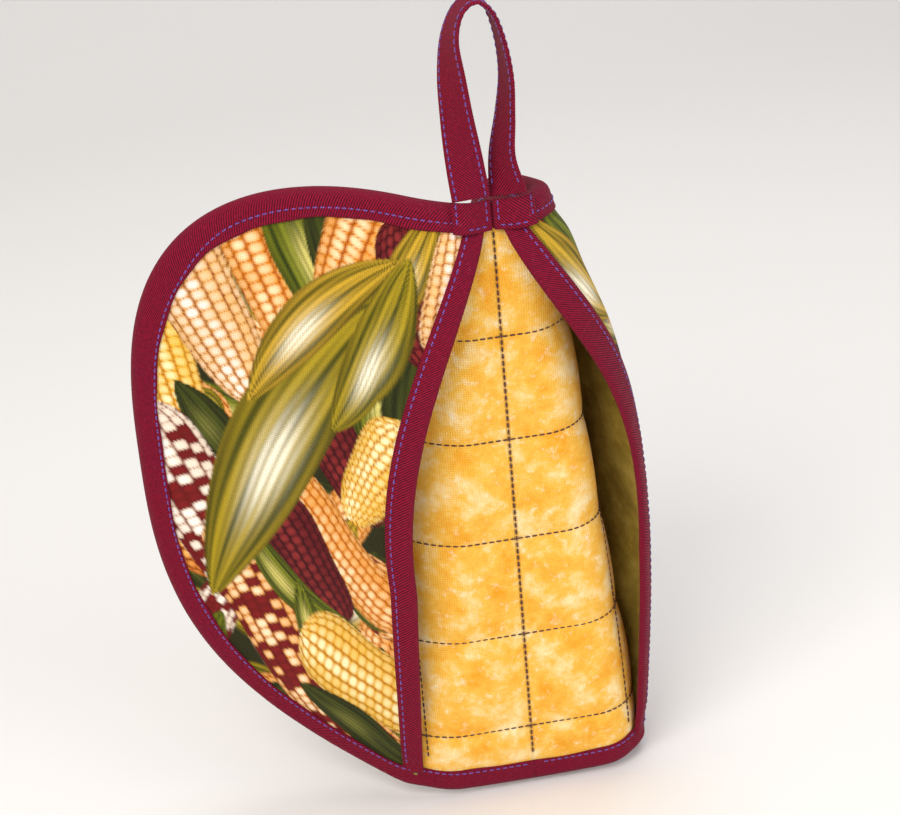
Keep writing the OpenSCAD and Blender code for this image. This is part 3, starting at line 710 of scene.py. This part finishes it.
# ---------------------------------------------------------------- the rim
def rim_point(turn, inset):
    """Cloth coordinates on the outline moved in by inset, at an angle from the top."""
    r = ((np.abs(np.cos(turn)) / (HALF_HEIGHT - inset)) ** OUTLINE
         + (np.abs(np.sin(turn)) / (HALF_WIDTH - inset)) ** OUTLINE) ** (-1 / OUTLINE)
    return r * np.sin(turn), r * np.cos(turn)


def rim_front(u, v):
    """Level of the tape's front: low over the bare palm strip, high over a pocket's edge."""
    begins = np.where(v > 0, MOUTH_START, MOUTH_LOW)
    return FRONT_LOW + (FRONT_OUT - FRONT_LOW) * smooth((u - begins + 3) / 12)


def rim_turns(steps):
    """Angles round half the outline at even distances along it."""
    t = np.linspace(0, np.pi, 4000)
    u, v = rim_point(t, 0)
    run = np.concatenate([[0], np.cumsum(np.hypot(np.diff(u), np.diff(v)))])
    return np.interp(np.linspace(0, run[-1], steps), run, t), run[-1]


def tape_section(count, deep):
    """A folded tape's section from its front edge round the outline to its back edge: the distance
    in, from 0 at the outline to 1 at the tape's edge, and the share of its turn from front to back."""
    arm = np.linspace(1, deep, count)[:-1]
    angle = np.linspace(-np.pi / 2, np.pi / 2, count)
    inset = np.concatenate([arm, deep * (1 - np.cos(angle)), arm[::-1]])
    face = np.concatenate([np.zeros_like(arm), (1 + np.sin(angle)) / 2, np.ones_like(arm)])
    return inset, face


def make_rim(word, side):
    """Half of the rim's tape: a folded section carried round the outline, with small puckers."""
    turns, length = rim_turns(520)
    inset, face = tape_section(9, 0.34)
    grids = []
    run = np.linspace(0, length, len(turns))[:, None]
    pucker = (0.16 * np.sin(run * 2 * np.pi / 5.8 + 0.7 * np.sin(run / 21))
              + 0.22 * np.sin(run / 3.1 + 1.3 * np.sin(run / 13.0)) + 0.25 * np.sin(run / 9.7))
    wave = 0.25 * np.sin(run / 11.0 + side) + 0.2 * np.sin(run / 4.3)
    for gap in (0.0, TAPE):
        x = np.maximum(inset[None] * (BAND + wave * (inset[None] > 0.9)), gap)
        u, v = rim_point(turns[:, None], x)
        front, back = rim_front(u, v) - gap, BACK_OUT + gap
        lift = pucker * np.sin(np.pi * np.clip(inset[None], 0, 1)) * 0.8 * (1 - gap)
        h = front + lift + (back - front - 2 * lift) * face[None]
        grids.append(place(side, u, v, h))
    across = np.cumsum(np.concatenate([[0], np.hypot(np.diff(inset) * BAND, np.diff(face) * 13)]))
    uv = np.stack(np.broadcast_arrays(run, across[None]), -1) * MM
    tape = add_shell(f"rim_tape_{word}", side, grids[0], grids[1], uv)
    nodes = [f"rim_binding_{END[side]}", "rim_binding_top" if side < 0 else "rim_binding_bottom"]
    finish_piece(tape, side, TAPE_CLOTH, nodes)

    u, v = rim_point(turns, BAND - 1.1 - 2.4 * smooth((rim_point(turns, 0)[1] - 80) / 30))
    front, back = place(side, u, v, rim_front(u, v) + 0.1), place(side, u, v, BACK_OUT - 0.1)
    out = place(side, u, v, 1) - place(side, u, v, 0)
    rows = [stitch_row(front, out, RIM_STITCH), stitch_row(back, -out, RIM_STITCH)]
    stitches = add_stitches(f"rim_stitching_{word}", rows)
    nodes = [f"rim_stitch_{END[side]}", "rim_stitch_top" if side < 0 else "rim_stitch_bottom"]
    finish_piece(stitches, side, TOPSTITCH, nodes)


# ---------------------------------------------------------------- the pockets
def pocket_sag(side, u, v):
    """Soft unevenness of a pocket's cloth, still at its edges."""
    q = np.clip((u - mouth(v)) / np.maximum(1, half_width(v, BAND) - mouth(v)), 0, 1)
    calm = smooth(q / 0.2) * smooth((1 - q) / 0.2) * smooth((HALF_HEIGHT - 14 - np.abs(v)) / 22)
    return calm * (0.9 * np.sin(u / 17 + v / 29 + side) + 0.7 * np.sin(v / 14 - u / 23)
                   + 0.4 * np.sin(u / 6.5 + v / 8.0))


# the pocket layers' middle level, how far the mouth's tape squeezes them, and how far in that reaches
MOUTH_MIDDLE, MOUTH_SQUEEZE, MOUTH_REACH = 3.2, 0.62, 15.0
MOUTH_FRONT, MOUTH_BACK = POCKET_OUT + 1.1, POCKET_IN - 1.15    # the tape's two faces


def pocket_level(u, v, h):
    """Level of a pocket's layer, squeezed towards the others at the mouth, where the tape holds it."""
    squeeze = MOUTH_SQUEEZE + (1 - MOUTH_SQUEEZE) * smooth((u - mouth(v)) / MOUTH_REACH)
    return MOUTH_MIDDLE + (h - MOUTH_MIDDLE) * squeeze


POCKET_END = 118.3    # a pocket's cloth ends under the rim tape at this height


def pocket_grid(rows, cols, start):
    """Cloth coordinates of a pocket, from start inside its mouth's tape out to the outline."""
    v = np.linspace(POCKET_END, -POCKET_END, rows)[:, None]
    a, b = mouth(v) + start, half_width(v, 3.2)
    return a + (b - a) * np.linspace(0, 1, cols)[None], np.repeat(v, cols, 1)


def add_pocket_layer(name, side, grid, outer, inner, ink=False):
    """A layer of a pocket between two levels, printed or plain."""
    u, v = pocket_grid(*grid, 2.4)
    stand = gape(side, u, v) + pocket_sag(side, u, v)
    top = place(side, u, v, pocket_level(u, v, outer) + stand)
    low = place(side, u, v, pocket_level(u, v, inner) + stand)
    uv = np.stack([side * u, v], -1) * MM
    colour = pocket_ink(side, u, v) if ink else None
    return add_shell(name, side, top, low, uv, colour), top


def make_pocket(word, side):
    """A pocket: its printed face, thin wadding and lining."""
    node = f"{word}_pocket"
    face, cut = add_pocket_layer(f"{node}_print", side, (300, 150), POCKET_OUT, POCKET_OUT - 0.6, True)
    finish_piece(face, side, PRINT, [f"{node}_face"])
    wadding, _ = add_pocket_layer(f"{node}_wadding", side, (80, 40), POCKET_OUT - 0.7, POCKET_IN + 0.6)
    finish_piece(wadding, side, WADDING, [f"{node}_batting"])
    # the pocket's lining takes the darkened lining cloth: painted shade inside the pocket
    inside, cut = add_pocket_layer(f"{node}_inside", side, (120, 60), POCKET_IN + 0.5, POCKET_IN)
    finish_piece(inside, side, POCKET_LINING_IN_SHADE, [f"{node}_lining"])


def make_mouth(word, side):
    """The tape folded over a pocket's mouth, and its topstitching on the print and on the lining."""
    node = f"{word}_pocket"
    v = np.linspace(116.6, -117.0, 330)[:, None]
    inset, face = tape_section(8, 0.2)
    path = place(side, mouth(v[:, 0]), v[:, 0], gape(side, mouth(v[:, 0]), v[:, 0]))
    run = np.concatenate([[0], np.cumsum(np.linalg.norm(np.diff(path, axis=0), axis=1))])[:, None] / MM
    pucker = 0.14 * np.sin(run * 2 * np.pi / 6.4) + 0.2 * np.sin(run / 3.4 + np.sin(run / 17))
    grids = []
    for gap in (0.0, TAPE):
        x = np.maximum(inset[None] * MOUTH_BAND, gap)
        u = mouth(v) + x
        front, back = MOUTH_FRONT - gap, MOUTH_BACK + gap
        lift = pucker * np.sin(np.pi * np.clip(inset[None], 0, 1)) * (1 - gap)
        h = front + lift + (back - front - lift) * face[None]
        grids.append(place(side, u, v, pocket_level(u, v, h) + gape(side, u, v)))
    across = np.cumsum(np.concatenate([[0], np.hypot(np.diff(inset) * MOUTH_BAND, np.diff(face) * 5)]))
    uv = np.stack(np.broadcast_arrays(run, across[None]), -1) * MM
    tape = add_shell(f"{node}_mouth_tape", side, grids[0], grids[1], uv)
    finish_piece(tape, side, TAPE_CLOTH, [f"{node}_binding"])

    v = v[:, 0]
    u = mouth(v) + MOUTH_BAND - 1.6
    stand = gape(side, u, v)
    out = place(side, u, v, stand + 1) - place(side, u, v, stand)
    front = place(side, u, v, pocket_level(u, v, MOUTH_FRONT) + stand)
    back = place(side, u, v, pocket_level(u, v, MOUTH_BACK) + stand)
    rows = [stitch_row(front, out, MOUTH_STITCH), stitch_row(back, -out, MOUTH_STITCH)]
    stitches = add_stitches(f"{node}_mouth_stitching", rows)
    finish_piece(stitches, side, TOPSTITCH, [f"{node}_stitch"])


# ---------------------------------------------------------------- the hanging loop
TAB_LEVEL = FRONT_LOW + 0.2
TAB_INSET = 0.5
LOOP_BASE = HALF_HEIGHT + 1.6
TAB_MIDDLE = TAB_INSET + LOOP_WIDTH / 2
H = LOOP_HEIGHT
# the loop's middle line over its base (across, up), and how far its tape is twisted there, in degrees
LOOP_COURSE = np.array([
    [-TAB_MIDDLE, -4], [-TAB_MIDDLE, 1.5], [-8.9, 0.18 * H], [-10.5, 0.42 * H], [-11.3, 0.63 * H],
    [-10.9, 0.82 * H], [-7.3, 0.95 * H], [-1.4, H], [4.2, 0.94 * H], [7.5, 0.79 * H], [8.7, 0.61 * H],
    [7.3, 0.42 * H], [5.2, 0.22 * H], [TAB_MIDDLE - 1.2, 1.5], [TAB_MIDDLE, -4]])
LOOP_TWIST = np.array([0, 4, 18, 40, 54, 74, 86, 90, 92, 95, 100, 108, 122, 156, 176.0])


def spline(knots, q):
    """A Catmull-Rom spline through the knots at parameter q, counted from the second knot."""
    i = np.minimum(len(knots) - 4, np.floor(q)).astype(int)
    t = (q - i)[:, None]
    a, b, c, d = (knots[i + k].reshape(len(q), -1) for k in range(4))
    return 0.5 * (2 * b + (c - a) * t + (2 * a - 5 * b + 4 * c - d) * t * t
                  + (3 * b - a - 3 * c + d) * t ** 3)


def loop_frame(steps):
    """Middle line of the loop's tape, the direction across the tape and its normal, in metres."""
    q = np.linspace(0, len(LOOP_COURSE) - 3, steps)
    point, twist = spline(LOOP_COURSE, q), np.radians(spline(LOOP_TWIST, q)[:, 0])
    ahead = np.gradient(point, axis=0)
    ahead /= np.linalg.norm(ahead, axis=1, keepdims=True)
    flat = np.stack([ahead[:, 1], 0 * twist, -ahead[:, 0]], 1)
    back = np.array([[0.0, 1.0, 0.0]])
    wide = -back * np.sin(twist)[:, None] + flat * np.cos(twist)[:, None]
    normal = back * np.cos(twist)[:, None] + flat * np.sin(twist)[:, None]
    middle = np.stack([point[:, 0], 0 * twist - TAB_LEVEL - LOOP_THICK / 2,
                       LOOP_BASE + point[:, 1]], 1)
    return middle * MM, wide, normal


def make_loop():
    """The hanging loop: a doubled tape with round edges, carried along its course and twisted."""
    middle, wide, normal = loop_frame(240)
    angle = np.linspace(0, 2 * np.pi, 33)[:-1]
    across = np.sign(np.cos(angle)) * np.abs(np.cos(angle)) ** 0.35 * LOOP_WIDTH / 2
    thick = np.sign(np.sin(angle)) * np.abs(np.sin(angle)) ** 0.7 * LOOP_THICK / 2
    points = (middle[:, None] + across[None, :, None] * MM * wide[:, None]
              + thick[None, :, None] * MM * normal[:, None])
    rows, cols = points.shape[:2]
    i, j = np.meshgrid(np.arange(rows - 1), np.arange(cols), indexing="ij")
    k = (j + 1) % cols
    skin = np.stack([i * cols + j, (i + 1) * cols + j, (i + 1) * cols + k, i * cols + k], -1)
    half = np.arange(2, cols // 2)
    cap = np.stack([half - 1, half, cols - half, cols - half + 1], 1)
    faces = np.concatenate([skin.reshape(-1, 4), cap, cap[:, ::-1] + (rows - 1) * cols])
    run = np.concatenate([[0], np.cumsum(np.linalg.norm(np.diff(middle, axis=0), axis=1))])
    uv = np.stack(np.broadcast_arrays(run[:, None], across[None] * MM), -1)
    loop = add_mesh("hanging_loop_tape", points.reshape(-1, 3), faces, uv.reshape(-1, 2))
    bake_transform(loop)
    finish_sewn(loop, TAPE_CLOTH, "hanging_loop")
    for word, side in SIDES.items():
        rows = []
        for face in (1, -1):
            off = wide * side * (LOOP_WIDTH / 2 - LOOP_SEAM) + normal * face * (LOOP_THICK / 2 - 0.05)
            rows.append(stitch_row(middle + off * MM, normal * face, LOOP_STITCH))
        stitches = add_stitches(f"hanging_loop_stitching_{word}", rows)
        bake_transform(stitches)
        finish_sewn(stitches, TOPSTITCH, f"loop_stitch_{END[side]}")


def loop_end_level(u, v):
    """Level of the underside of the loop's flat ends, resting on the rim's tape."""
    return np.maximum(TAB_LEVEL, rim_front(u, v) + 0.1)


def make_loop_end(word, side):
    """A flat end of the loop sewn on the rim, with stitches down both edges and along its foot."""
    low, high = HALF_HEIGHT - BAND - 0.4, HALF_HEIGHT + 1.4
    v, u = np.meshgrid(np.linspace(high, low, 16), np.linspace(TAB_INSET, TAB_INSET + LOOP_WIDTH, 22),
                       indexing="ij")
    edge = np.minimum(np.minimum(u - TAB_INSET, TAB_INSET + LOOP_WIDTH - u), 1.0)
    under = loop_end_level(u, v)
    top = place(side, u, v, under + LOOP_THICK * (0.75 + 0.25 * np.sqrt(np.clip(edge, 0, 1))))
    under = place(side, u, v, under)
    end = add_shell(f"loop_end_{word}", side, top, under, np.stack([v, u], -1) * MM)
    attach(end, "palm")
    finish_sewn(end, TAPE_CLOTH, f"loop_tab_{END[side]}")
    rows = []
    near, far, foot = TAB_INSET + LOOP_SEAM, TAB_INSET + LOOP_WIDTH - LOOP_SEAM, low + 1.8
    for u0, v0, u1, v1 in ((near, high, near, foot), (far, high, far, foot), (near, foot, far, foot)):
        u, v = np.linspace(u0, u1, 40), np.linspace(v0, v1, 40)
        h = loop_end_level(u, v) + LOOP_THICK
        path = place(side, u, v, h)
        rows.append(stitch_row(path, place(side, u, v, h + 1) - path, LOOP_END_STITCH))
    stitches = add_stitches(f"loop_end_stitching_{word}", rows)
    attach(stitches, "palm")
    finish_sewn(stitches, TOPSTITCH, f"loop_tab_stitch_{END[side]}")


# ---------------------------------------------------------------- the camera, the floor and the light
def add_camera():
    """A camera 0.9 m from the mitt's middle, looking down at it and a little from its thumb side."""
    down, swing, roll = np.radians([24.0, 8.3, 5.0])
    away, right_off, up_off = 0.9, 0.0252, -0.0393
    x = -right_off * np.cos(roll) - up_off * np.sin(roll)
    up = right_off * np.sin(roll) - up_off * np.cos(roll)
    eye = np.array([x, -away * np.cos(down) + up * np.sin(down), away * np.sin(down) + up * np.cos(down)])
    right = np.array([np.cos(roll), -np.sin(roll) * np.sin(down), -np.sin(roll) * np.cos(down)])
    above = np.array([np.sin(roll), np.cos(roll) * np.sin(down), np.cos(roll) * np.cos(down)])
    ahead = np.array([0, np.cos(down), -np.sin(down)])
    back_turn = np.array([[np.cos(swing), np.sin(swing), 0], [-np.sin(swing), np.cos(swing), 0], [0, 0, 1]])
    data = bpy.data.cameras.new("camera")
    data.sensor_width = 36
    data.lens = 91.4
    data.clip_end = 20
    camera = bpy.data.objects.new("camera", data)
    bpy.context.scene.collection.objects.link(camera)
    turn = np.eye(4)
    turn[:3, 0], turn[:3, 1], turn[:3, 2] = back_turn @ right, back_turn @ above, back_turn @ -ahead
    turn[:3, 3] = back_turn @ eye
    camera.matrix_world = Matrix(turn.tolist())
    bpy.context.scene.camera = camera


def add_light(name, place_at, size, power, colour):
    """A square area light that faces the mitt's middle, in metres and watts."""
    data = bpy.data.lights.new(name, "AREA")
    data.energy, data.size, data.color = power, size, tuple(to_linear(colour))
    light = bpy.data.objects.new(name, data)
    bpy.context.scene.collection.objects.link(light)
    light.location = place_at
    light.rotation_euler = (-Vector(place_at)).to_track_quat("-Z", "Y").to_euler()


def add_stage(lowest):
    """A pale floor just under the mitt that curves up far behind it."""
    s = np.linspace(0, 1, 40)
    y = np.where(s < 0.5, -1.5 + 5.0 * s, 1.0 + 1.2 * np.sin(np.pi / 2 * np.clip(2 * s - 1, 0, 1)))
    z = np.where(s < 0.5, 0.0, 1.2 * (1 - np.cos(np.pi / 2 * np.clip(2 * s - 1, 0, 1))))
    x = np.linspace(-3, 3, 12)
    points = np.stack(np.broadcast_arrays(x[:, None], y[None], z[None] + lowest), -1)
    uv = np.stack(np.broadcast_arrays(x[:, None], y[None]), -1)
    floor = add_mesh("floor", points.reshape(-1, 3), quads(12, 40), uv.reshape(-1, 2))
    material, _, shader = new_material("pale_paper")
    shader.inputs["Base Color"].default_value = rgba("#F0EEEB")
    shader.inputs["Roughness"].default_value = 0.9
    floor.data.materials.append(material)
    floor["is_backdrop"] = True


add_camera()
for word, side in SIDES.items():
    make_pad(word, side)
    make_quilting(word, side)
    make_rim(word, side)
    make_pocket(word, side)
    make_mouth(word, side)
    make_loop_end(word, side)
make_loop()
add_stage(float(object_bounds()[0][2]) - 0.002)
add_light("key", (-0.9, -1.2, 1.3), 1.2, 26, "#FFF8F0")
add_light("fill", (1.2, -1.0, 0.6), 1.6, 12, "#F2F5FF")
add_light("top", (0.1, 0.3, 1.6), 1.2, 12, "#FFFFFF")
world = bpy.data.worlds.new("studio")
bpy.context.scene.world = world
world.use_nodes = True
world.node_tree.nodes["Background"].inputs["Color"].default_value = rgba("#E8E8EA")
world.node_tree.nodes["Background"].inputs["Strength"].default_value = 0.45
bpy.context.scene.view_settings.view_transform = "Standard"
